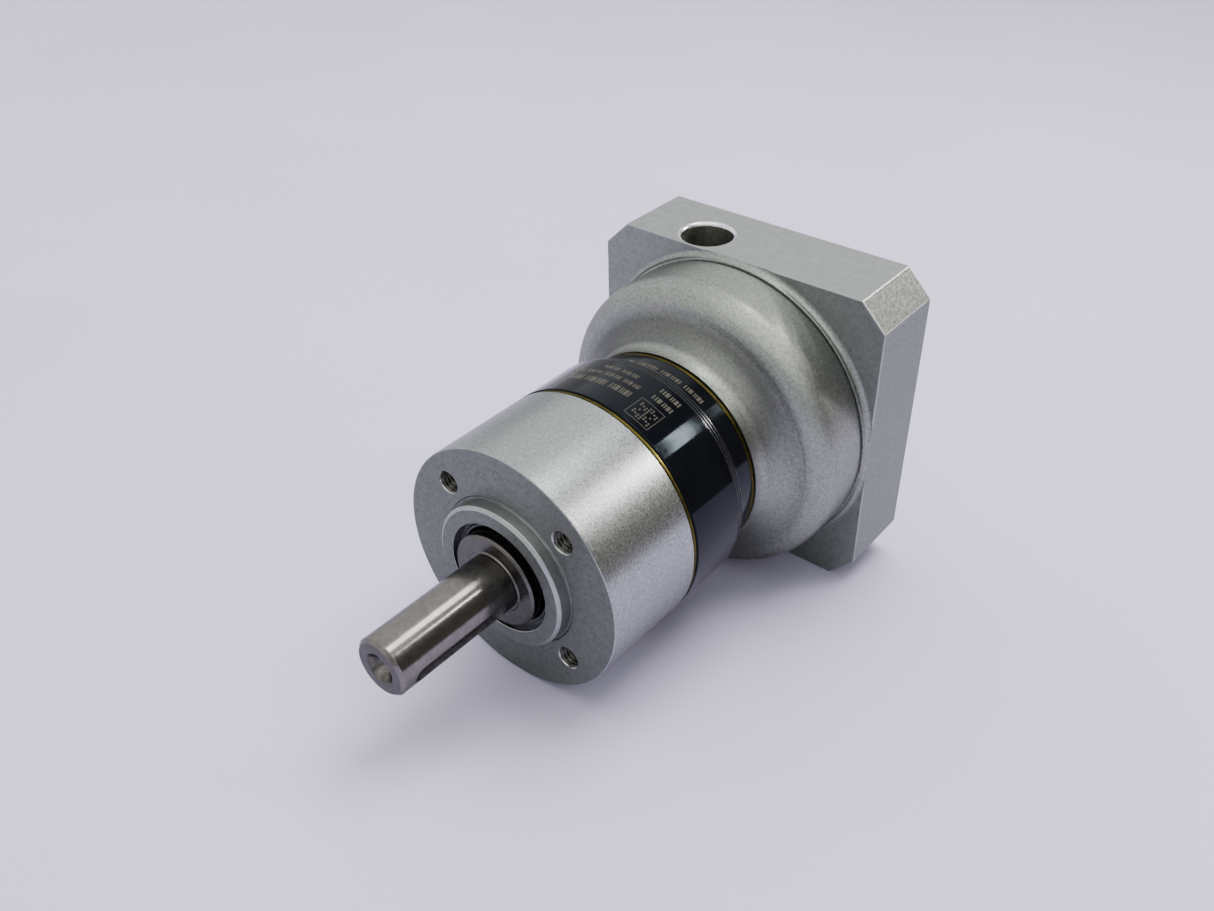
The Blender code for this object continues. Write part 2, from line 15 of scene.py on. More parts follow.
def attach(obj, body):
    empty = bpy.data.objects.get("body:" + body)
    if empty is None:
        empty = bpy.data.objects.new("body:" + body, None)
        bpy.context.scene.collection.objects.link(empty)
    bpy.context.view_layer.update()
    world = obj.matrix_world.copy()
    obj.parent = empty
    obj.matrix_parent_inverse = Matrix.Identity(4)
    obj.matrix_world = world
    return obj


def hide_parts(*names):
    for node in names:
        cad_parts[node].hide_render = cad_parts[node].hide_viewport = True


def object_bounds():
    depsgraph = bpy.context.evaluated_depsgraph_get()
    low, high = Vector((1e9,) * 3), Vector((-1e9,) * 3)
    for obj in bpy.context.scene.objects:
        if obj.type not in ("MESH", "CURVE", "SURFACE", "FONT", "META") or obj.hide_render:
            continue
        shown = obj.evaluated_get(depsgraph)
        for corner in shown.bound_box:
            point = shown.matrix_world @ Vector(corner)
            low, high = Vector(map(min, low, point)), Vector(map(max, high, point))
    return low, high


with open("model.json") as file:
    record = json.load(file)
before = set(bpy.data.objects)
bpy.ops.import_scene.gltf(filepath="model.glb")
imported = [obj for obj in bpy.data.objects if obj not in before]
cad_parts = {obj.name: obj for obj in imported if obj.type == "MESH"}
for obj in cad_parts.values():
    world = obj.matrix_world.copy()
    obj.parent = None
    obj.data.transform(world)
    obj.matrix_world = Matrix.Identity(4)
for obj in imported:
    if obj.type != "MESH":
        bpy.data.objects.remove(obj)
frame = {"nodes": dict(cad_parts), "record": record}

MM = 0.001
CAD_LOW, CAD_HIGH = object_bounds()
MOTOR_FACE = 78.5                      # station of the motor face, which is the CAD box's far side
DATUM = CAD_HIGH.y - MOTOR_FACE * MM   # Y of the output mounting face
TINY = 1e-6
MIX_A, MIX_B, MIX_RESULT = 6, 7, 2     # the colour sockets of a Mix node, which share their names

FACETS = 180                           # round the large pieces
SMALL_FACETS = 64                      # round holes and screws
BODY_R = 22.0
NECK_R = 19.7
FLANGE_HALF = CAD_HIGH.x / MM
FLANGE_FRONT = 62.1
FLANGE_CHAMFER = 5.0
SHAFT_END = (CAD_LOW.y - DATUM) / MM
SHAFT_R = 5.0
KEYWAY_DEG = -17.0                     # from +X towards +Z
CLAMP_STATION = 67.6
CLAMP_SCREW_X = -10.4
KEYWAY_FRONT = -24.6
KEYWAY_BACK = -5.8
PLANETS = 3
CENTRE_DISTANCE = 10.5
MODULE = 0.7
RING_TEETH = 48
HOLES = 4                              # tapped holes in each housing
FIRST_HOLE_DEG = 45.0
FRONT_HOLES_R = 17.0                   # M4
REAR_HOLES_R = 35.0                    # M5


# ---------------------------------------------------------------- mesh helpers

def along(station):
    """Y of a station, in metres."""
    return DATUM + station * MM


def polar(radius, degrees, station):
    """A point at a radius in millimetres and an angle from +X towards +Z."""
    angle = math.radians(degrees)
    return Vector((radius * MM * math.cos(angle), along(station), radius * MM * math.sin(angle)))


def new_object(name, mesh):
    obj = bpy.data.objects.new(name, mesh)
    bpy.context.scene.collection.objects.link(obj)
    return obj


def mesh_from(made, name):
    """A mesh datablock from a bmesh whose faces are turned outwards."""
    bmesh.ops.recalc_face_normals(made, faces=made.faces)
    mesh = bpy.data.meshes.new(name)
    made.to_mesh(mesh)
    made.free()
    return mesh


def rounded(corners, pieces=5):
    """A profile whose corners are (station, radius, rounding) or (station, radius)."""
    points = [Vector(corner[:2]) for corner in corners]
    count = len(points)
    out = []
    for i, corner in enumerate(corners):
        here = points[i]
        if len(corner) < 3 or corner[2] <= 0:
            out.append((here.x, here.y))
            continue
        before = points[(i - 1) % count] - here
        after = points[(i + 1) % count] - here
        half = before.angle(after) / 2
        reach = min(corner[2] / math.tan(half), 0.49 * before.length, 0.49 * after.length)
        radius = reach * math.tan(half)
        centre = here + (before.normalized() + after.normalized()).normalized() * radius / math.sin(half)
        start = here + before.normalized() * reach - centre
        end = here + after.normalized() * reach - centre
        for step in range(pieces + 1):
            spoke = start.lerp(end, step / pieces).normalized() * radius
            out.append((centre.x + spoke.x, centre.y + spoke.y))
    return out


def arc(centre, radius, start_deg, end_deg, pieces):
    """Profile points on an arc about a (station, radius) centre, angles from the station axis."""
    points = []
    for i in range(pieces + 1):
        angle = math.radians(start_deg + (end_deg - start_deg) * i / pieces)
        points.append((centre[0] + radius * math.cos(angle), centre[1] + radius * math.sin(angle)))
    return points


def stitch(made, rings, loop):
    """Faces between successive rings of vertices; a ring of one vertex is a point on the axis."""
    pairs = list(zip(rings, rings[1:]))
    if loop:
        pairs.append((rings[-1], rings[0]))
    count = max(len(ring) for ring in rings)
    for lower, upper in pairs:
        for i in range(count):
            j = (i + 1) % count
            corners = [lower[i % len(lower)], lower[j % len(lower)],
                       upper[j % len(upper)], upper[i % len(upper)]]
            made.faces.new(dict.fromkeys(corners))


def lathe(name, profile, facets=FACETS, origin=None, direction=(0, 1, 0)):
    """A closed object turned about a line through origin, from (distance, radius) in millimetres.

    The profile is a closed loop, or runs from the axis back to the axis for a solid centre.
    """
    made = bmesh.new()
    turns = [2 * math.pi * i / facets for i in range(facets)]
    rings = []
    for distance, radius in profile:
        if radius < TINY:
            rings.append([made.verts.new((0, 0, distance * MM))])
        else:
            rings.append([made.verts.new((radius * MM * math.cos(turn), radius * MM * math.sin(turn),
                                          distance * MM)) for turn in turns])
    stitch(made, rings, loop=profile[0][1] > TINY)
    place(made, origin, direction)
    return new_object(name, mesh_from(made, name))


def place(made, origin, direction):
    """Moves a bmesh made along +Z so that it runs along direction from origin."""
    turn = Vector(direction).to_track_quat("Z", "Y").to_matrix().to_4x4()
    origin = Vector((0, DATUM, 0)) if origin is None else Vector(origin)
    bmesh.ops.transform(made, matrix=Matrix.Translation(origin) @ turn, verts=made.verts)


def prism(name, outline, start, end, bevel=0.0):
    """A closed prism of (x, z) points in millimetres between two stations, its edges bevelled."""
    made = bmesh.new()
    rings = [[made.verts.new((x * MM, along(station), z * MM)) for x, z in outline]
             for station in (start, end)]
    stitch(made, rings, loop=False)
    for ring in rings:
        made.faces.new(ring)
    bmesh.ops.recalc_face_normals(made, faces=made.faces)
    if bevel:
        bmesh.ops.bevel(made, geom=made.edges[:], offset=bevel * MM, segments=3, profile=0.5,
                        affect="EDGES", clamp_overlap=True)
    return new_object(name, mesh_from(made, name))


def tapped_hole(name, mouth, inward, core_r, crest_r, pitch, depth, sink_r):
    """The space of a tapped blind hole: a countersunk mouth, a helical thread and a drill cone."""
    facets, rows_per_pitch, outside = 40, 6, 0.5
    flat_crests, cone = 1.25, 0.6      # over 1 cuts the crests flat; the cone's depth over its radius
    rows = int((depth + outside) / pitch * rows_per_pitch)
    made = bmesh.new()
    rings = []
    for row in range(rows + 1):
        distance = -outside + (depth + outside) * row / rows
        ring = []
        for i in range(facets):
            phase = (distance / pitch - i / facets) % 1
            thread = core_r + (crest_r - core_r) * min(1, flat_crests * (1 - abs(2 * phase - 1)))
            radius = max(thread, sink_r - distance) if row < rows else core_r
            turn = 2 * math.pi * i / facets
            ring.append(made.verts.new((radius * MM * math.cos(turn), radius * MM * math.sin(turn),
                                        distance * MM)))
        rings.append(ring)
    rings.append([made.verts.new((0, 0, (depth + cone * core_r) * MM))])
    stitch(made, rings, loop=False)
    made.faces.new(rings[0])
    place(made, mouth, inward)
    return new_object(name, mesh_from(made, name))


def hole_centre(circle_r, i, station=0.0):
    """The middle of one of a housing's ring of tapped holes."""
    return polar(circle_r, FIRST_HOLE_DEG + 360 * i / HOLES, station)


def hole_distance(point, circle_r):
    """Distance in millimetres, across the axis, from the nearest of a ring of tapped holes."""
    centres = [hole_centre(circle_r, i) for i in range(HOLES)]
    return min(math.hypot(point.x - centre.x, point.z - centre.z) for centre in centres) / MM


def cut(obj, *cutters, operation="DIFFERENCE"):
    """Boolean operations in order, each applied at once, after which its cutter is removed."""
    for cutter in cutters:
        boolean = obj.modifiers.new("cut", "BOOLEAN")
        boolean.operation = operation
        boolean.solver = "EXACT"
        boolean.object = cutter
        apply_modifiers(obj)
        bpy.data.objects.remove(cutter, do_unlink=True)


def apply_modifiers(obj):
    """Replaces an object's mesh by what its modifiers make of it."""
    graph = bpy.context.evaluated_depsgraph_get()
    shape = bpy.data.meshes.new_from_object(obj.evaluated_get(graph))
    obj.modifiers.clear()
    obj.data = shape


def dress(obj, materials, choose=None, smooth_deg=32):
    """Chooses each face's material by its middle and normal, and shades smooth between sharp edges."""
    mesh = obj.data
    mesh.name = obj.name
    mesh.materials.clear()
    for made in materials:
        mesh.materials.append(made)
    for face in mesh.polygons:
        face.material_index = choose(face.center, face.normal) if choose else 0
    mesh.shade_smooth()
    mesh.set_sharp_from_angle(angle=math.radians(smooth_deg))
    weighted = obj.modifiers.new("weighted normals", "WEIGHTED_NORMAL")
    weighted.keep_sharp = True
    weighted.weight = 90


def settle(obj, body, node, materials, choose=None):
    """The last steps for a piece: its finish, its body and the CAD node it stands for."""
    dress(obj, materials, choose)
    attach(obj, body)
    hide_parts(node)


def station_of(point):
    """A point's station, in millimetres."""
    return (point.y - DATUM) / MM


def radius_of(point):
    """A point's distance from the gear axis, in millimetres."""
    return math.hypot(point.x, point.z) / MM


# ---------------------------------------------------------------- material helpers

def rgb(red, green, blue):
    return (red, green, blue, 1.0)


PIT_AND_PAINTED_SHADE = rgb(0.05, 0.05, 0.05)          # the colour of pits, and of the painted shade in the bell's throat
METAL_TINT = (0.65, 0.65, 0.65)        # holds back the glare of a metal seen edge on


class Nodes:
    """A node tree, with short calls that add a node and link or set its inputs."""

    def __init__(self, tree):
        self.tree = tree

    def node(self, kind, **settings):
        made = self.tree.nodes.new(kind)
        for key, value in settings.items():
            setattr(made, key, value)
        return made

    def feed(self, socket, value):
        if isinstance(value, bpy.types.NodeSocket):
            self.tree.links.new(value, socket)
        else:
            socket.default_value = value

    def math(self, operation, first, second=0.0):
        made = self.node("ShaderNodeMath", operation=operation)
        self.feed(made.inputs[0], first)
        self.feed(made.inputs[1], second)
        return made.outputs[0]

    def spread(self, value, low, high, to_low=0.0, to_high=1.0):
        """The value mapped smoothly from low..high to to_low..to_high, and held beyond them."""
        made = self.node("ShaderNodeMapRange", interpolation_type="SMOOTHSTEP")
        for socket, number in zip(made.inputs, (value, low, high, to_low, to_high)):
            self.feed(socket, number)
        return made.outputs[0]

    def mix(self, share, first, second):
        """A colour that is first where the share is 0 and second where it is 1."""
        made = self.node("ShaderNodeMix", data_type="RGBA")
        self.feed(made.inputs["Factor"], share)
        self.feed(made.inputs[MIX_A], first)
        self.feed(made.inputs[MIX_B], second)
        return made.outputs[MIX_RESULT]


class Shader(Nodes):
    """A Principled material whose maps are built from object coordinates."""

    def __init__(self, name, metallic, specular=0.5, tint=(1.0, 1.0, 1.0)):
        self.material = bpy.data.materials.new(name)
        self.material.use_nodes = True
        super().__init__(self.material.node_tree)
        self.principled = self.tree.nodes["Principled BSDF"]
        self.principled.inputs["Metallic"].default_value = metallic
        self.principled.inputs["Specular IOR Level"].default_value = specular
        self.principled.inputs["Specular Tint"].default_value = rgb(*tint)
        self.coordinates = self.node("ShaderNodeTexCoord").outputs["Object"]
        self.normal = None

    def axes(self):
        """X, Y and Z of the object coordinates."""
        parts = self.node("ShaderNodeSeparateXYZ")
        self.feed(parts.inputs["Vector"], self.coordinates)
        return parts.outputs

    def turned_coordinates(self, per_radian=0.0004):
        """(radius, Y, a little of the angle), so that a texture runs in rings about the axis."""
        x, y, z = self.axes()
        squares = self.math("ADD", self.math("MULTIPLY", x, x), self.math("MULTIPLY", z, z))
        joined = self.node("ShaderNodeCombineXYZ")
        self.feed(joined.inputs["X"], self.math("SQRT", squares))
        self.feed(joined.inputs["Y"], y)
        self.feed(joined.inputs["Z"], self.math("MULTIPLY", self.math("ARCTAN2", z, x), per_radian))
        return joined.outputs["Vector"]

    def stretched(self, scale):
        made = self.node("ShaderNodeVectorMath", operation="MULTIPLY")
        self.feed(made.inputs[0], self.coordinates)
        self.feed(made.inputs[1], scale)
        return made.outputs[0]

    def noise(self, scale, detail=2.0, roughness=0.5, vector=None):
        made = self.node("ShaderNodeTexNoise")
        self.feed(made.inputs["Vector"], vector or self.coordinates)
        self.feed(made.inputs["Scale"], scale)
        self.feed(made.inputs["Detail"], detail)
        self.feed(made.inputs["Roughness"], roughness)
        return made.outputs["Fac"]

    def cells(self, scale):
        """A share from 0 to 1 that is even within each small cell."""
        made = self.node("ShaderNodeTexVoronoi")
        self.feed(made.inputs["Vector"], self.coordinates)
        self.feed(made.inputs["Scale"], scale)
        split = self.node("ShaderNodeSeparateColor")
        self.feed(split.inputs["Color"], made.outputs["Color"])
        return split.outputs["Red"]

    def bump(self, height, depth_mm):
        """Adds relief to what the surface already has."""
        made = self.node("ShaderNodeBump")
        self.feed(made.inputs["Strength"], 1.0)
        self.feed(made.inputs["Distance"], depth_mm * MM)
        self.feed(made.inputs["Height"], height)
        if self.normal:
            self.feed(made.inputs["Normal"], self.normal)
        self.normal = made.outputs["Normal"]

    def done(self, colour, roughness):
        self.feed(self.principled.inputs["Base Color"], colour)
        self.feed(self.principled.inputs["Roughness"], roughness)
        if self.normal:
            self.feed(self.principled.inputs["Normal"], self.normal)
        return self.material


def metal(name, light, dark, rough, grain=None, rings=None, streaks=None, blotches=(1400, 0.3, 0.72),
          specks=None, throat=None, metallic=1.0):
    """A worked metal surface.

    light and dark are the colours that blotches (scale, from, to) mix between. rough is its lowest and
    highest roughness. grain is (scale, depth in mm), rings (scale, depth) runs round the axis,
    streaks (stretch, depth) follows a scale vector, throat is the four stations between which a band of
    painted shade fades in and out, and specks (scale, from) are small dark pits.
    """
    shader = Shader(name, metallic, tint=METAL_TINT)
    scale, low, high = blotches
    colour = shader.mix(shader.spread(shader.noise(scale, 4, 0.6), low, high), light, dark)
    roughness = shader.spread(shader.noise(scale * 2.3, 3), 0.3, 0.7, *rough)
    if grain:
        scale, depth = grain
        cells = shader.cells(scale)
        colour = shader.mix(shader.math("MULTIPLY", cells, 0.35), colour, dark)
        roughness = shader.math("ADD", roughness, shader.math("MULTIPLY", cells, 0.08))
        shader.bump(shader.noise(scale * 0.8, 2), depth)
    if rings:
        scale, depth = rings
        shader.bump(shader.noise(scale, 3, 0.7, shader.turned_coordinates()), depth)
    if streaks:
        stretch, depth = streaks
        shader.bump(shader.noise(1.0, 3, 0.7, shader.stretched(stretch)), depth)
    # Painted shade: the throat band darkens the colour, more on top than underneath.
    if throat:
        colour = shader.mix(painted_throat_shade(shader, throat), colour, PIT_AND_PAINTED_SHADE)
    if specks:
        scale, low = specks
        colour = shader.mix(shader.spread(shader.noise(scale, 1), low, low + 0.05), colour, PIT_AND_PAINTED_SHADE)
    return shader.done(colour, roughness)


def painted_throat_shade(shader, stations):
    """How strongly a band of painted shade darkens the colour: within its stations, and more above the
    gear axis than below.
    """
    start, full, fade, end = map(along, stations)
    faint_z, full_z, faint, strong = -4 * MM, 15 * MM, 0.1, 0.68
    _, y, z = shader.axes()
    inside = shader.math("MINIMUM", shader.spread(y, start, full),
                         shader.spread(y, fade, end, 1.0, 0.0))
    return shader.math("MULTIPLY", inside, shader.spread(z, faint_z, full_z, faint, strong))


def make_materials():
    """Every finish of the gearbox, by name."""
    made = {}

    def add(name, *args, **settings):
        made[name] = metal(name, *args, **settings)

    # Aluminium housings
    add("blasted_aluminium", rgb(0.398, 0.420, 0.412), rgb(0.238, 0.251, 0.243), (0.23, 0.27),
        grain=(3600, 0.013), blotches=(2500, 0.3, 0.72))
    # The bell's throat band is painted shade, darker above the gear axis than below.
    add("bell_aluminium", rgb(0.316, 0.333, 0.306), rgb(0.191, 0.203, 0.182), (0.33, 0.39),
        grain=(3600, 0.014), rings=(2300, 0.040), blotches=(2000, 0.3, 0.72),
        throat=(43.2, 44.6, 47.3, 48.7))
    add("face_aluminium", rgb(0.162, 0.175, 0.160), rgb(0.114, 0.123, 0.114), (0.40, 0.50),
        grain=(3800, 0.014), blotches=(1300, 0.35, 0.75), specks=(2900, 0.72), metallic=0.65)
    add("flange_face", rgb(0.243, 0.260, 0.239), rgb(0.182, 0.195, 0.179), (0.42, 0.50),
        grain=(3600, 0.012), blotches=(1300, 0.35, 0.75), specks=(2700, 0.74), metallic=0.72)
    add("milled_aluminium", rgb(0.355, 0.370, 0.360), rgb(0.295, 0.307, 0.299), (0.33, 0.39),
        grain=(4400, 0.007), streaks=((700, 6000, 6000), 0.006), blotches=(600, 0.3, 0.75))
    add("sawn_aluminium", rgb(0.118, 0.120, 0.114), rgb(0.069, 0.070, 0.067), (0.44, 0.54),
        grain=(3400, 0.025), blotches=(1500, 0.3, 0.7))
    add("bright_aluminium", rgb(0.78, 0.79, 0.80), rgb(0.6, 0.6, 0.6), (0.16, 0.26),
        rings=(5200, 0.004))
    # A dark copy of the drilled finish for bores and tapped holes: painted shade in the recesses.
    add("bore_painted_shade", rgb(0.10, 0.097, 0.083), rgb(0.045, 0.045, 0.038), (0.3, 0.45),
        grain=(3500, 0.01))
    add("drilled_aluminium", rgb(0.36, 0.355, 0.32), rgb(0.22, 0.22, 0.19), (0.33, 0.45),
        grain=(3500, 0.008))
    # Steels
    add("ground_steel", rgb(0.176, 0.165, 0.155), rgb(0.140, 0.131, 0.122), (0.15, 0.20),
        rings=(6000, 0.0022), blotches=(900, 0.3, 0.7))
    add("steel_end", rgb(0.117, 0.111, 0.109), rgb(0.091, 0.087, 0.085), (0.28, 0.38),
        rings=(5200, 0.005), grain=(5200, 0.003), blotches=(900, 0.3, 0.7))
    add("brushed_collar", rgb(0.107, 0.102, 0.096), rgb(0.088, 0.084, 0.079), (0.26, 0.32),
        rings=(5200, 0.003), blotches=(900, 0.3, 0.7))
    add("centre_hole", rgb(0.115, 0.110, 0.100), rgb(0.062, 0.059, 0.053), (0.25, 0.36),
        rings=(5200, 0.006))
    add("keyway_steel", rgb(0.24, 0.23, 0.24), rgb(0.14, 0.13, 0.14), (0.4, 0.55),
        streaks=((5200, 600, 5200), 0.006))
    add("bearing_steel", rgb(0.60, 0.60, 0.61), rgb(0.52, 0.52, 0.53), (0.10, 0.2),
        rings=(6000, 0.002))
    add("gear_steel", rgb(0.40, 0.39, 0.38), rgb(0.28, 0.27, 0.26), (0.28, 0.42),
        grain=(5000, 0.004), rings=(4200, 0.004))
    add("spring_steel", rgb(0.11, 0.11, 0.12), rgb(0.05, 0.05, 0.055), (0.35, 0.5),
        grain=(5000, 0.006))
    add("cage_steel", rgb(0.48, 0.45, 0.38), rgb(0.34, 0.32, 0.28), (0.25, 0.4),
        grain=(4800, 0.004))
    add("bronze", rgb(0.56, 0.36, 0.14), rgb(0.40, 0.24, 0.09), (0.25, 0.4),
        grain=(4600, 0.004), rings=(4200, 0.003))
    add("browned_steel", rgb(0.088, 0.069, 0.017), rgb(0.045, 0.037, 0.010), (0.25, 0.38),
        grain=(4000, 0.004), rings=(4200, 0.004), blotches=(500, 0.35, 0.7))
    made["black_film"] = black_film()
    made["film_ridge_painted_highlight"] = film_ridge_painted_highlight()
    made["print"] = print_ink()
    made["rubber"] = rubber()
    return made


def black_film():
    """Shrunk glossy sleeve: nearly black with a blue cast, gently uneven."""
    shader = Shader("black_film", 0.0, 0.125, (0.62, 0.84, 1.0))
    cloud = shader.spread(shader.noise(220, 3), 0.3, 0.7)
    colour = shader.mix(cloud, rgb(0.0022, 0.0024, 0.0035), rgb(0.004, 0.0044, 0.0062))
    shader.bump(shader.noise(240, 2), 0.0015)
    shader.bump(shader.noise(2600, 2), 0.0004)
    roughness = shader.spread(shader.noise(700, 3), 0.3, 0.75, 0.05, 0.08)
    return shader.done(colour, roughness)


def film_ridge_painted_highlight():
    """The film over the ridges, painted lighter grey as a painted highlight along each ridge."""
    shader = Shader("film_ridge_painted_highlight", 0.0, 0.4)
    worn = shader.spread(shader.noise(1500, 3), 0.35, 0.7)
    colour = shader.mix(worn, rgb(0.029, 0.031, 0.035), rgb(0.012, 0.013, 0.016))
    shader.bump(shader.noise(2600, 2), 0.0004)
    return shader.done(colour, shader.spread(worn, 0.0, 1.0, 0.14, 0.22))


def print_ink():
    """Thin pale-gold printing, worn a little."""
    shader = Shader("print_ink", 0.0, 0.25)
    worn = shader.spread(shader.noise(2400, 3), 0.5, 0.75)
    colour = shader.mix(worn, rgb(0.055, 0.049, 0.033), rgb(0.022, 0.020, 0.014))
    shader.bump(shader.noise(5000, 2), 0.002)
    return shader.done(colour, shader.spread(worn, 0.0, 1.0, 0.38, 0.5))


def rubber():
    """Dark nitrile rubber with a faint moulded texture."""
    shader = Shader("seal_rubber", 0.0, 0.5)
    dusty = shader.spread(shader.noise(600, 4), 0.45, 0.8)
    colour = shader.mix(dusty, rgb(0.010, 0.014, 0.016), rgb(0.035, 0.042, 0.045))
    shader.bump(shader.noise(5200, 2), 0.004)
    shader.bump(shader.noise(5200, 2, 0.6, shader.turned_coordinates()), 0.004)
    return shader.done(colour, shader.spread(shader.noise(900, 3), 0.3, 0.7, 0.32, 0.5))


# ---------------------------------------------------------------- stationary pieces

def make_output_housing(finish):
    """Blasted round housing: grooved boss, tapped and countersunk holes, stepped bore."""
    profile = rounded([
        (-2.4, 10.0, 0.12), (-2.4, 12.4, 0.2), (-2.02, 12.98, 0.2), (-0.1, 13.0, 0.05),
        (0.3, 13.08, 0.05), (0.32, 13.4, 0.1), (0.0, 13.65, 0.12), (0.0, 21.85, 0.05),
        (0.14, BODY_R, 0.05), (20.02, BODY_R, 0.06), (20.1, 21.9, 0.03), (20.1, 17.9),
        (20.7, 17.9), (20.7, 17.0), (21.7, 17.0), (21.7, 17.9), (22.1, 17.9), (22.1, 16.15),
        (19.5, 16.15), (19.5, 16.8), (18.4, 16.8), (18.4, 16.15), (10.7, 16.15), (10.7, 13.12),
        (3.6, 13.12), (3.6, 11.5), (-1.2, 11.5, 0.1), (-1.2, 10.0),
    ], 4)
    housing = lathe("output_housing_shell", profile)
    m4 = {"core_r": 1.65, "crest_r": 2.0, "pitch": 0.7, "depth": 8.0, "sink_r": 2.13}
    cut(housing, *[tapped_hole("m4", hole_centre(FRONT_HOLES_R, i), (0, 1, 0), **m4)
                   for i in range(HOLES)])

    side, face, bright, bore, spigot = range(5)
    hole_r, bore_r, boss_r, boss_edge = 2.3, 11.6, 13.3, -2.3      # each a little outside its surface

    def choose(centre, normal):
        station, radius = station_of(centre), radius_of(centre)
        # bore is painted shade inside the tapped holes and the stepped bore.
        if hole_distance(centre, FRONT_HOLES_R) < hole_r and station > 0.02:
            return side if station < 0.2 else bore
        if radius < bore_r and station > boss_edge:
            return bore if station > 0 else bright
        if abs(normal.y) > 0.9 and station < 0.4:
            return face
        if abs(normal.y) > 0.2 and radius > 12 and station < boss_edge:
            return bright
        return spigot if radius < boss_r else side

    settle(housing, "root", "output_housing",
           [finish[n] for n in ("blasted_aluminium", "face_aluminium", "bright_aluminium",
                                "bore_painted_shade", "milled_aluminium")], choose)


def tooth_gaps(teeth, tip_r, root_r, widen, first_deg, flank_points=6):
    """The spaces between a ring's teeth as one involute outline of (x, z) points.

    widen grows each space along the pitch circle.
    """
    pressure = math.radians(20)
    pitch_r = MODULE * teeth / 2
    base_r = pitch_r * math.cos(pressure)

    def involute(radius):
        angle = math.acos(min(1.0, base_r / radius))
        return math.tan(angle) - angle

    half_at_pitch = math.pi / (2 * teeth) + widen / pitch_r
    radii = [root_r + (tip_r - root_r) * i / (flank_points - 1) for i in range(flank_points)]
    halves = [half_at_pitch + math.tan(pressure) - pressure - involute(max(radius, base_r))
              for radius in radii]
    outline = []
    for tooth in range(teeth):
        middle = math.radians(first_deg) + 2 * math.pi * tooth / teeth
        outline += [(radius, middle - half) for radius, half in zip(radii, halves)]
        outline += [(radius, middle + half) for radius, half in zip(radii, halves)][::-1]
    return [(radius * math.cos(angle), radius * math.sin(angle)) for radius, angle in outline]


def make_ring_gear(finish):
    """Internally toothed ring, whose two bare lips show beside the black sleeve."""
    profile = rounded([
        (20.4, 18.0), (20.4, 21.85, 0.12), (20.95, 21.85, 0.08), (20.95, 21.45), (33.0, 21.45),
        (33.0, 19.15), (40.35, 19.15), (40.35, 19.6, 0.1), (41.0, 19.6, 0.12), (41.0, 18.0),
        (38.6, 18.0), (38.6, 14.5), (22.4, 14.5), (22.4, 18.0),
    ], 3)
    ring = lathe("ring_gear_toothed", profile, 192)
    pitch_r = MODULE * RING_TEETH / 2
    dedendum, addendum, backlash = 1.15 * MODULE, 0.85 * MODULE, 0.05
    gaps = tooth_gaps(RING_TEETH, pitch_r + dedendum, pitch_r - addendum, backlash, 180 / RING_TEETH)
    cut(ring, prism("ring_gaps", gaps, 21.4, 39.6))
    settle(ring, "root", "ring_gear", [finish["browned_steel"]])


def make_sleeve(finish):
    """Glossy shrunk sleeve, rounded in front and stepped down to the neck."""
    slope_start, slope, ridges = 32.6, 0.34, (32.85, 33.7, 34.55)
    corners = [(21.1, 21.5), (21.1, BODY_R, 0.42), (slope_start, BODY_R, 0.2)]
    for station in ridges:
        radius = BODY_R - (station - slope_start) * slope
        corners += [(station, radius), (station + 0.04, radius + 0.05), (station + 0.13, radius + 0.04),
                    (station + 0.2, radius - 0.08)]
    corners += [
        (35.05, 20.9, 0.15), (35.35, NECK_R, 0.25), (40.05, NECK_R, 0.12), (40.2, 19.55, 0.05),
        (40.2, 19.2), (33.1, 19.2), (33.1, 21.5),
    ]
    profile = rounded(corners, 5)
    sleeve = lathe("label_sleeve_film", profile)

    def choose(centre, normal):
        station = station_of(centre)
        outer = normal.x * centre.x + normal.z * centre.z > 0
        # The outer faces of the ridges take the lighter film: a painted highlight on each ridge.
        return int(outer and any(ridge < station < ridge + 0.14 for ridge in ridges))

    settle(sleeve, "root", "label_sleeve",
           [finish["black_film"], finish["film_ridge_painted_highlight"]], choose)


def wrapped_bar(made, radius, stations, degrees, lift=0.012, sink=0.03):
    """A thin closed bar lying on the cylinder of that radius between two stations and two angles."""
    pieces = max(1, math.ceil(abs(degrees[1] - degrees[0]) / 2))
    rings = []
    for i in range(pieces + 1):
        angle = degrees[0] + (degrees[1] - degrees[0]) * i / pieces
        rings.append([made.verts.new(polar(r, angle, s)) for r, s in (
            (radius - sink, stations[0]), (radius + lift, stations[0]),
            (radius + lift, stations[1]), (radius - sink, stations[1]))])
    stitch(made, rings, loop=False)
    made.faces.new(rings[0])
    made.faces.new(rings[-1])


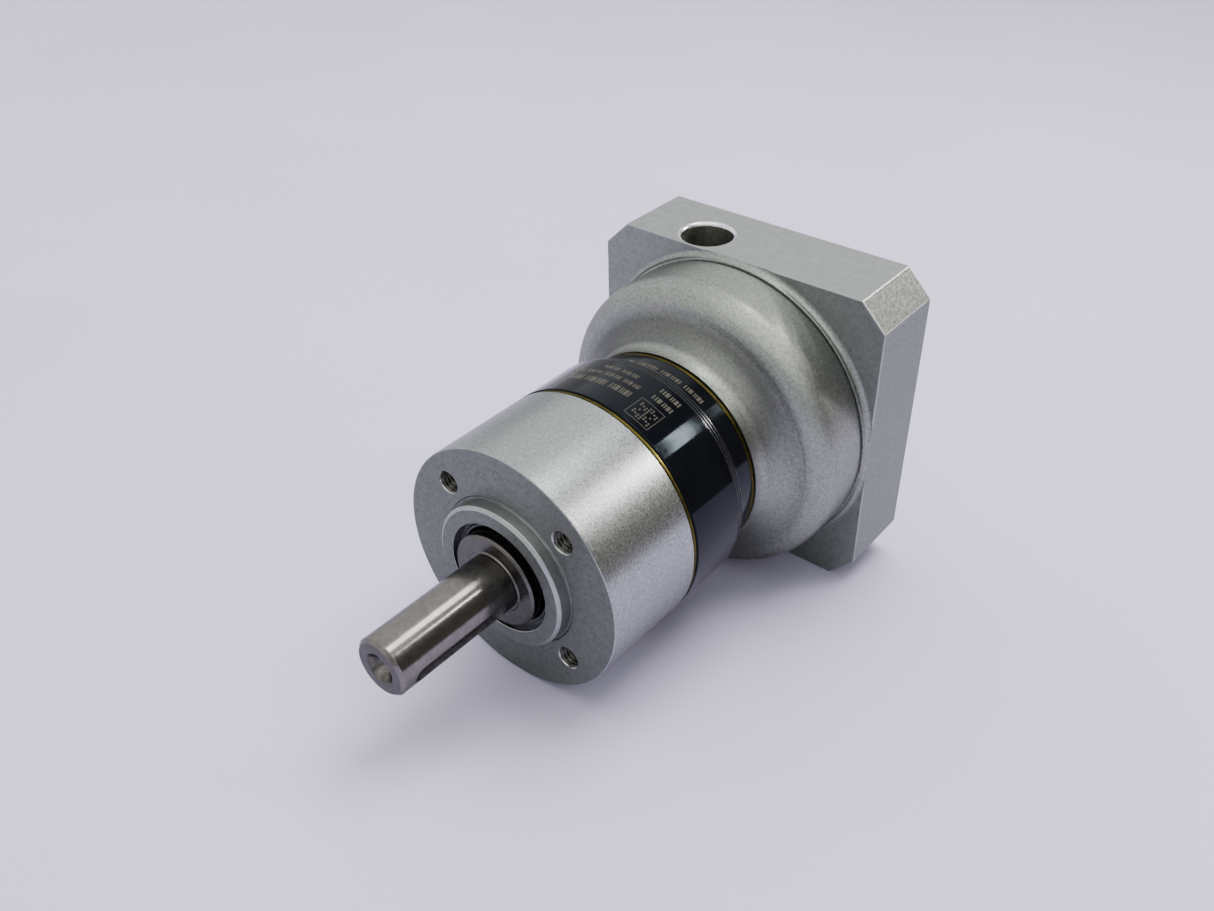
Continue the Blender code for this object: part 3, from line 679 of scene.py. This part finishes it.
def make_print(finish):
    """Generic printed marks on the sleeve: rows of dashes, a ruled line and a dotted square."""
    made = bmesh.new()

    def dashes(radius, station, height, start_deg, end_deg, pattern):
        """A row of bars round the sleeve; pattern lists bar and gap widths in millimetres in turn."""
        angle, i = start_deg, 0
        per_mm = math.degrees(1 / radius)
        while angle < end_deg:
            bar, gap = pattern[i % len(pattern)]
            stop = min(angle + bar * per_mm, end_deg)
            wrapped_bar(made, radius, (station - height / 2, station + height / 2), (angle, stop))
            angle += (bar + gap) * per_mm
            i += 1

    fine = ((0.17, 0.15), (0.32, 0.15), (0.17, 0.13), (0.17, 0.32), (0.45, 0.15), (0.17, 0.2),
            (0.17, 0.13), (0.3, 0.75))
    bold = ((0.3, 0.2), (0.6, 0.2), (0.25, 0.18), (0.25, 0.35), (0.7, 0.2), (0.28, 0.3), (0.28, 0.9))
    ruled_line = ((30, 1),)
    for row in ((BODY_R, 26.1, 1.5, 79, 117, bold), (BODY_R, 28.6, 1.0, 79, 119, fine),
                (BODY_R, 30.7, 0.9, 84, 104, fine), (BODY_R, 28.9, 1.1, 61.5, 73, bold),
                (BODY_R, 31.1, 1.1, 61.5, 73, bold), (NECK_R, 37.5, 1.0, 58, 105, bold),
                (NECK_R, 35.8, 0.1, 62, 112, ruled_line)):
        dashes(*row)

    low, high, turn_low, turn_high = 22.4, 27.3, 61.6, 74.6
    rule, rule_deg = 0.12, 0.3
    for stations, degrees in (((low, low + rule), (turn_low, turn_high)),
                              ((high - rule, high), (turn_low, turn_high)),
                              ((low + rule, high - rule), (turn_low, turn_low + rule_deg)),
                              ((low + rule, high - rule), (turn_high - rule_deg, turn_high))):
        wrapped_bar(made, BODY_R, stations, degrees)
    cells, margin, margin_deg, dot, dot_deg = 7, 0.55, 1.3, 0.34, 0.9
    for row in range(cells):
        for column in range(cells):
            if (row * 5 + column * 3 + row * column) % 4 < 2:
                station = low + margin + (high - low - 2 * margin) * row / cells
                angle = turn_low + margin_deg + (turn_high - turn_low - 2 * margin_deg) * column / cells
                wrapped_bar(made, BODY_R, (station, station + dot), (angle, angle + dot_deg))
    marks = new_object("sleeve_printed_marks", mesh_from(made, "sleeve_printed_marks"))
    dress(marks, [finish["print"]])
    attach(marks, "root")


def bell_profile():
    """The bell's outer line: a concave flare off the neck, a rounded shoulder, a groove and a ring."""
    flare_r, flare_deg, shoulder_r = 7.0, 78.0, 5.1
    flare = arc((41.3, NECK_R + flare_r), flare_r, -90, -90 + flare_deg, 22)
    turn = math.radians(flare_deg)
    centre = (flare[-1][0] + shoulder_r * math.sin(turn), flare[-1][1] - shoulder_r * math.cos(turn))
    shoulder = arc(centre, shoulder_r, 90 + flare_deg, 90, 16)
    groove = rounded([(59.9, 29.2), (60.45, 29.15, 0.1), (60.5, 28.8, 0.08), (60.75, 28.8, 0.08),
                      (60.8, 29.5, 0.1), (61.0, 29.55)], 3)
    return flare + shoulder[1:] + groove


def make_input_housing(finish):
    """Turned bell and square motor flange in one piece, filleted where they meet."""
    half = FLANGE_HALF
    corner = half - FLANGE_CHAMFER
    fillet_r = 1.15
    profile = [(38.9, 11.0), (38.9, 17.9), (39.5, 17.9), (39.5, 17.0), (40.5, 17.0), (40.5, 17.9),
               (41.3, 17.9)]
    profile += bell_profile()
    profile += arc((FLANGE_FRONT - fillet_r, 29.55 + fillet_r), fillet_r, -90, 0, 8)
    profile += [
        (FLANGE_FRONT + 1, 29.55 + fillet_r), (73.5, 29.55), (73.5, 20.5), (55.5, 20.5),
        (54.5, 13.12), (50.0, 13.12), (50.0, 13.7), (49.1, 13.7), (49.1, 13.12), (43.5, 13.12),
        (43.5, 11.0),
    ]
    housing = lathe("input_housing_shell", profile)
    trim = [(half, -half), (half, half), (-half, half), (-half, -half)]
    before_bell, behind_motor_face = 30, MOTOR_FACE + 5
    cut(housing, prism("square_trim", trim, before_bell, behind_motor_face), operation="INTERSECT")
    outline = [(half, -corner), (half, corner), (corner, half), (-corner, half), (-half, corner),
               (-half, -corner), (-corner, -half), (corner, -half)]
    cut(housing, prism("flange_plate", outline, FLANGE_FRONT, MOTOR_FACE, bevel=0.22),
        operation="UNION")

    face, pilot_floor, cavity_r = MOTOR_FACE, MOTOR_FACE - 3.5, 20.5
    cavity = [(55.5, 0), (55.5, cavity_r), (pilot_floor - 0.3, cavity_r), (pilot_floor, 20.8),
              (pilot_floor, 24.8), (face - 3.3, 25.0), (face - 0.4, 25.0), (face + 0.4, 25.8),
              (face + 0.4, 0)]
    cut(housing, lathe("cavity", cavity))
    m5 = {"core_r": 2.1, "crest_r": 2.5, "pitch": 0.8, "depth": 11, "sink_r": 2.8}
    cut(housing, *[tapped_hole("m5", hole_centre(REAR_HOLES_R, i, face), (0, -1, 0), **m5)
                   for i in range(HOLES)])
    hole_r, lip = 4.8, 0.75
    top = (CLAMP_SCREW_X * MM, along(CLAMP_STATION), half * MM)
    access = [(-18, 0), (-18, hole_r)]
    access += [(-lip + lip * math.sin(math.radians(a)), hole_r + lip * (1 - math.cos(math.radians(a))))
               for a in range(0, 91, 10)]
    access += [(1, hole_r + lip), (1, 0)]
    cut(housing, lathe("access_hole", access, 96, top, (0, 0, 1)))

    bell, front, milled, sawn, bright, bore, drilled = range(7)
    slack, flat = 0.01, 0.99           # for the middle of a face beside an edge, and for its normal
    screw_depth, screw_r, sink = 12, 2.9, 0.7
    hollow_front, hollow_r, pilot_r = 50, 21, 25.5

    def access_finish(x, station, z):
        """The finish of a face of the access hole, drilled below its turned lip, or None elsewhere."""
        across = math.hypot(x - CLAMP_SCREW_X, station - CLAMP_STATION)
        outside = across > hole_r + lip + 2 * slack or station < FLANGE_FRONT + 0.4
        if outside or not 12 < z < half - slack:
            return None
        return drilled if across < hole_r + slack and z < half - lip - slack else bright

    def choose(centre, normal):
        station, radius = station_of(centre), radius_of(centre)
        access_hole = access_finish(centre.x / MM, station, centre.z / MM)
        if access_hole is not None:
            return access_hole
        in_screw_hole = hole_distance(centre, REAR_HOLES_R) < screw_r
        # bore is painted shade inside the screw holes and the hollow.
        if in_screw_hole and face - screw_depth < station < face - 2 * slack:
            return bright if station > face - sink else bore
        if station > hollow_front and hollow_r < radius < pilot_r and abs(normal.y) < 0.95:
            return milled
        if hollow_front < station < face - 1 and radius < hollow_r:
            return bore
        if station < FLANGE_FRONT - 2 * slack:
            return bell
        # The +X and -X sides take the darker front finish instead of the top's milled one: painted shade
        # on the sides.
        if abs(normal.x) > flat or normal.y < -flat:
            return front
        if abs(abs(normal.x) - abs(normal.z)) < 0.02 and abs(normal.y) < 0.05:
            return sawn
        return milled

    settle(housing, "root", "input_housing",
           [finish[n] for n in ("bell_aluminium", "flange_face", "milled_aluminium",
                                "sawn_aluminium", "bright_aluminium", "bore_painted_shade",
                                "drilled_aluminium")], choose)


def make_output_seal(finish):
    """Radial shaft seal with a dust lip, an outer case band and a second lip line."""
    profile = rounded([
        (-1.0, 11.45, 0.1), (2.5, 11.45, 0.1), (2.5, 10.55), (0.1, 10.55), (0.1, 9.35), (2.1, 9.15, 0.2),
        (0.2, 8.45, 0.1), (-0.55, 8.6, 0.12), (-1.0, 8.75, 0.12), (-1.0, 9.1, 0.1), (-0.72, 9.3, 0.1),
        (-0.72, 9.75, 0.1), (-1.0, 9.95, 0.12),
    ], 4)
    seal = lathe("output_seal_lip", profile)
    settle(seal, "root", "output_seal", [finish["rubber"]])


# ---------------------------------------------------------------- moving pieces

def cylinder(name, start, end, radius):
    """A solid cylinder between two points, its radius in millimetres."""
    length = (end - start).length / MM
    profile = [(0, 0), (0, radius), (length, radius), (length, 0)]
    return lathe(name, profile, SMALL_FACETS, start, end - start)


def keyway_cutter():
    """A stadium-ended slot, upright at +X and then turned to its angle."""
    half_width, floor = 1.5, 3.2
    outline = []
    for middle, first in ((KEYWAY_BACK - half_width, 0), (KEYWAY_FRONT + half_width, 180)):
        for i in range(25):
            angle = math.radians(first + 180 * i / 24)
            outline.append((middle + half_width * math.sin(angle), half_width * math.cos(angle)))
    made = bmesh.new()
    rings = [[made.verts.new((x * MM, along(station), z * MM)) for station, z in outline]
             for x in (floor, SHAFT_R + 1)]
    stitch(made, rings, loop=False)
    for ring in rings:
        made.faces.new(ring)
    bmesh.ops.rotate(made, verts=made.verts, matrix=Matrix.Rotation(math.radians(-KEYWAY_DEG), 3, "Y"))
    return new_object("keyway", mesh_from(made, "keyway"))


def make_output_shaft(finish):
    """Ground and keyed shaft in one piece with the carrier's front cheek and posts."""
    end = SHAFT_END
    profile = rounded([
        (end, 0), (end, 4.45, 0.12), (end + 0.55, SHAFT_R, 0.12), (-4.05, SHAFT_R, 0.03),
        (-3.95, 4.82, 0.03), (-3.68, 4.82, 0.03), (-3.68, 5.45, 0.08), (-3.4, 5.62, 0.05),
        (-3.4, 7.95, 0.08), (-3.05, 8.35, 0.08), (2.7, 8.35),
        (2.7, 7.9), (3.5, 7.9), (3.5, 8.45), (8.95, 8.45), (8.95, 9.95), (18.2, 9.95), (18.2, 12.2),
        (19.9, 12.2), (19.9, 15.3), (23.3, 15.3), (23.3, 5.6), (22.0, 5.6), (22.0, 0),
    ], 4)
    shaft = lathe("output_shaft_ground", profile, 144)
    cone = [(-1, 0), (-1, 2.75), (0, 2.72), (0.12, 2.6), (2.2, 1.38), (2.3, 1.3), (2.3, 0)]
    m3 = {"core_r": 1.25, "crest_r": 1.5, "pitch": 0.5, "depth": 7.0, "sink_r": 1.3}
    cut(shaft, lathe("centre_cone", cone, SMALL_FACETS, (0, along(end), 0)),
        tapped_hole("m3", (0, along(end + 2.0), 0), (0, 1, 0), **m3), keyway_cutter())
    turns = [360 * i / PLANETS for i in range(PLANETS)]
    post_circle, post_r, seat_r = 11.6, 3.2, 2.55
    cut(shaft, *[cylinder("post", polar(post_circle, 150 + turn, 22.5),
                          polar(post_circle, 150 + turn, 35.9), post_r) for turn in turns],
        operation="UNION")
    cut(shaft, *[cylinder("seat", polar(CENTRE_DISTANCE, 90 + turn, 20.4),
                          polar(CENTRE_DISTANCE, 90 + turn, 24), seat_r) for turn in turns])

    ground, face, collar, key, centre_hole = range(5)
    centre_r, collar_front, collar_r, hidden_from = 2.8, -4.0, 8, 2.6

    def choose(centre, normal):
        station, radius = station_of(centre), radius_of(centre)
        if station > hidden_from:
            return face
        if radius < centre_r and station > end + 0.001:
            return centre_hole
        if station < end + 0.01:
            return face
        if KEYWAY_FRONT - 0.1 < station < KEYWAY_BACK + 0.1 and radius < SHAFT_R - 0.03:
            return key
        if station > collar_front and (normal.y < -0.5 or radius < collar_r):
            return collar
        return ground

    settle(shaft, "output", "output_shaft",
           [finish[n] for n in ("ground_steel", "steel_end", "brushed_collar", "keyway_steel",
                                "centre_hole")], choose)


def slot_box(name, low, high):
    """A plain box between two corners in metres, for cutting slits."""
    made = bmesh.new()
    bmesh.ops.create_cube(made, size=1.0, matrix=Matrix.Translation((Vector(low) + Vector(high)) / 2)
                          @ Matrix.Diagonal((*(Vector(high) - Vector(low)), 1.0)))
    return new_object(name, mesh_from(made, name))


def make_input_hub(finish):
    """Hollow hub: input bearing seat in front, slit clamping sleeve behind."""
    profile = rounded([
        (40.1, 3.05), (40.1, 9.8, 0.2), (43.4, 9.8), (43.4, 8.45), (48.65, 8.45), (48.65, 8.0),
        (49.45, 8.0), (49.45, 8.4), (50.4, 8.4), (50.4, 8.2), (73.9, 8.2, 0.35), (73.9, 5.5, 0.45),
        (51.0, 5.5), (50.0, 3.05),
    ], 4)
    hub = lathe("input_hub_sleeve", profile, 128)
    for low_x, high_x in ((-10, -4), (4, 10)):
        cut(hub, slot_box("hub_slit", (low_x * MM, along(57), -0.6 * MM),
                          (high_x * MM, along(75), 0.6 * MM)))
    settle(hub, "input", "input_hub", [finish["steel_end"]])


def make_clamp(finish):
    """Split clamp ring with its socket screw, which faces the access hole at rest."""
    front, back = CLAMP_STATION - 5.75, CLAMP_STATION + 5.75
    profile = rounded([
        (front, 8.3, 0.25), (front, 16.0), (front + 0.6, 16.6), (back - 0.6, 16.6), (back, 16.0),
        (back, 8.3, 0.25),
    ], 3)
    ring = lathe("clamp_ring_split", profile, 144)
    screw_line = Vector((CLAMP_SCREW_X * MM, along(CLAMP_STATION), 0))
    lift = Vector((0, 0, MM))
    cut(ring, slot_box("clamp_slit", (-18 * MM, along(front - 1), -0.8 * MM),
                       (-6 * MM, along(back + 1), 0.8 * MM)),
        cylinder("head_seat", screw_line + 5.2 * lift, screw_line + 20 * lift, 3.7),
        cylinder("screw_hole", screw_line - 20 * lift, screw_line + 6 * lift, 2.05))
    settle(ring, "input", "clamp_ring", [finish["gear_steel"]])

    profile = rounded([
        (-11, 0), (-11, 1.7, 0.1), (-10.6, 2.0, 0.1), (5.4, 2.0, 0.15), (5.4, 3.5, 0.15),
        (9.4, 3.5, 0.35), (9.4, 0),
    ], 4)
    screw = lathe("clamp_screw_socket", profile, SMALL_FACETS, screw_line, (0, 0, 1))
    hexagon = [(7.4, 0), (7.4, 1.73), (10, 1.73), (10, 0)]
    cut(screw, lathe("hex_socket", hexagon, 6, screw_line, (0, 0, 1)))
    settle(screw, "input", "clamp_screw", [finish["spring_steel"]])


# ---------------------------------------------------------------- CAD nodes that stay

SLOT_FINISH = {
    "seal_rubber": "rubber", "bearing_steel": "bearing_steel", "gear_steel": "gear_steel",
    "spring_steel": "spring_steel", "bronze": "bronze", "cage_steel": "cage_steel",
    "ground_steel": "steel_end", "browned_steel": "browned_steel", "black_film": "black_film",
    "satin_aluminium": "blasted_aluminium",
}


def dress_cad_nodes(finish):
    """Gives each CAD node that still shows the finish of its slot in the record."""
    for subpart in frame["record"]["subparts"]:
        node = frame["nodes"][subpart["node"]]
        if node.hide_render:
            continue
        node.data.materials.clear()
        node.data.materials.append(finish[SLOT_FINISH[subpart["material_slot"]]])


# ---------------------------------------------------------------- studio

def make_floor():
    """A pale sheet, tilted as the gearbox rests on its round housing and on the flange's edge."""
    rest_drop = (FLANGE_HALF - BODY_R) / FLANGE_FRONT
    low_x, high_x, low_s, high_s = -2200, 380, -420, 2600
    corners = [(x * MM, along(s), (-BODY_R - rest_drop * s) * MM)
               for x, s in ((low_x, low_s), (high_x, low_s), (high_x, high_s), (low_x, high_s))]
    mesh = bpy.data.meshes.new("floor")
    mesh.from_pydata(corners, [], [(0, 1, 2, 3)])
    floor = new_object("floor", mesh)
    shader = Shader("floor_paper", 0.0, 0.2)
    tone = shader.spread(shader.noise(9, 3), 0.3, 0.7)
    colour = shader.mix(tone, rgb(0.735, 0.695, 0.91), rgb(0.765, 0.725, 0.93))
    shader.bump(shader.noise(900, 4), 0.03)
    mesh.materials.append(shader.done(colour, shader.spread(shader.noise(40, 2), 0.3, 0.7, 0.75, 0.9)))


def make_world():
    """A pale room, darker to the right of the object and plain to the camera.

    Each lobe is (towards, outer degrees, inner degrees, colour), painted over the ones before it.
    """
    world = bpy.data.worlds.new("studio")
    world.use_nodes = True
    bpy.context.scene.world = world
    world.node_tree.nodes.clear()
    nodes = Nodes(world.node_tree)
    direction = nodes.node("ShaderNodeTexCoord").outputs["Generated"]

    def painted(colour, *lobes):
        for towards, outer_deg, inner_deg, patch in lobes:
            dot = nodes.node("ShaderNodeVectorMath", operation="DOT_PRODUCT")
            nodes.feed(dot.inputs[0], direction)
            nodes.feed(dot.inputs[1], Vector(towards).normalized())
            edge, middle = (math.cos(math.radians(angle)) for angle in (outer_deg, inner_deg))
            colour = nodes.mix(nodes.spread(dot.outputs["Value"], edge, middle), colour, patch)
        return colour

    table = ((0, 0, -1), 88, 70, rgb(0.30, 0.28, 0.28))
    room = painted(
        rgb(0.66, 0.67, 0.67),
        ((0.55, 0.62, 0.55), 66, 28, rgb(0.34, 0.345, 0.36)),
        ((0.85, 0.45, 0.05), 45, 20, rgb(0.235, 0.21, 0.185)),
        ((-0.75, 0.45, 0.5), 54, 42, rgb(1.55, 1.56, 1.61)))
    fill = painted(room, ((-0.12, -0.15, 1.0), 30, 10, rgb(2.6, 2.62, 2.62)), table)
    gloss = painted(
        room,
        ((-0.75, 0.65, 0.14), 15, 6, rgb(0.85, 0.86, 0.90)),
        ((-0.55, -0.70, 0.30), 52, 20, rgb(1.35, 1.36, 1.36)),
        ((0.26, -0.23, 0.94), 49, 23, rgb(2.7, 2.72, 2.72)),
        table)
    paths = nodes.node("ShaderNodeLightPath")
    seen = nodes.mix(paths.outputs["Is Glossy Ray"], fill, gloss)
    seen = nodes.mix(paths.outputs["Is Camera Ray"], seen, rgb(1.05, 1.02, 1.23))
    background = nodes.node("ShaderNodeBackground")
    nodes.feed(background.inputs["Color"], seen)
    nodes.feed(background.inputs["Strength"], 1.0)
    output = nodes.node("ShaderNodeOutputWorld")
    nodes.feed(output.inputs["Surface"], background.outputs["Background"])


def make_area_light(name, direction, distance, size, power, colour):
    """A rectangular light aimed at the object's middle; its second side lies across the gear axis."""
    light = bpy.data.lights.new(name, "AREA")
    light.shape = "RECTANGLE"
    light.size, light.size_y = size
    light.energy = power
    light.color = colour
    obj = new_object(name, light)
    towards = Vector(direction).normalized()
    across = towards.cross(Vector((0, 1, 0))).normalized()
    turn = Matrix((across.cross(towards), across, towards)).transposed()
    obj.location = towards * distance
    obj.rotation_mode = "QUATERNION"
    obj.rotation_quaternion = turn.to_quaternion()
    return obj


def make_lights():
    """Window panes behind on the right, a skylight for gloss only, and a soft ceiling for the rest."""
    pane, warm = (1.0, 0.99, 0.96), (1.0, 0.97, 0.90)
    sky, ceiling = (0.97, 0.99, 1.0), (0.97, 0.94, 1.0)
    for name, direction, distance, size, power, colour, hidden_from in (
            ("window", (0.465, 0.657, 0.594), 1.3, (0.034, 0.25), 1.15, pane, None),
            ("window_side", (0.437, 0.691, 0.569), 1.3, (0.010, 0.15), 0.06, pane, None),
            ("window_far", (0.43, 0.775, 0.465), 1.4, (0.17, 0.13), 18.0, pane, "diffuse"),
            ("window_low", (0.505, 0.455, 0.735), 1.3, (0.09, 0.07), 0.95, warm, "diffuse"),
            ("skylight", (0.09, 0.42, 0.903), 1.4, (0.30, 0.40), 4.5, sky, "diffuse"),
            ("overhead", (0.10, 0.45, 1.0), 0.8, (0.5, 0.5), 6.1, ceiling, "glossy")):
        light = make_area_light(name, direction, distance, size, power, colour)
        light.visible_diffuse = hidden_from != "diffuse"
        light.visible_glossy = hidden_from != "glossy"


def make_camera():
    """The main view, from in front of the shaft and above, with a slight roll."""
    azimuth, elevation, roll = map(math.radians, (40.17, 36.07, -1.30))
    distance = 0.170
    target = Vector((12.64, -15.59, 22.59)) * MM
    back = Vector((math.sin(azimuth) * math.cos(elevation), -math.cos(azimuth) * math.cos(elevation),
                   math.sin(elevation)))
    data = bpy.data.cameras.new("camera")
    data.sensor_fit = "HORIZONTAL"
    data.sensor_width = 36.0
    data.lens = 34.13
    data.clip_start = 0.005
    data.clip_end = 20.0
    camera = new_object("camera", data)
    camera.location = target + back * distance
    camera.rotation_mode = "QUATERNION"
    turn = Matrix.Rotation(roll, 4, back) @ back.to_track_quat("Z", "Y").to_matrix().to_4x4()
    camera.rotation_quaternion = turn.to_quaternion()
    bpy.context.scene.camera = camera


# ---------------------------------------------------------------- all of it

finish = make_materials()
make_output_housing(finish)
make_ring_gear(finish)
make_sleeve(finish)
make_print(finish)
make_input_housing(finish)
make_output_seal(finish)
make_output_shaft(finish)
make_input_hub(finish)
make_clamp(finish)
dress_cad_nodes(finish)
make_floor()
make_world()
make_lights()
make_camera()
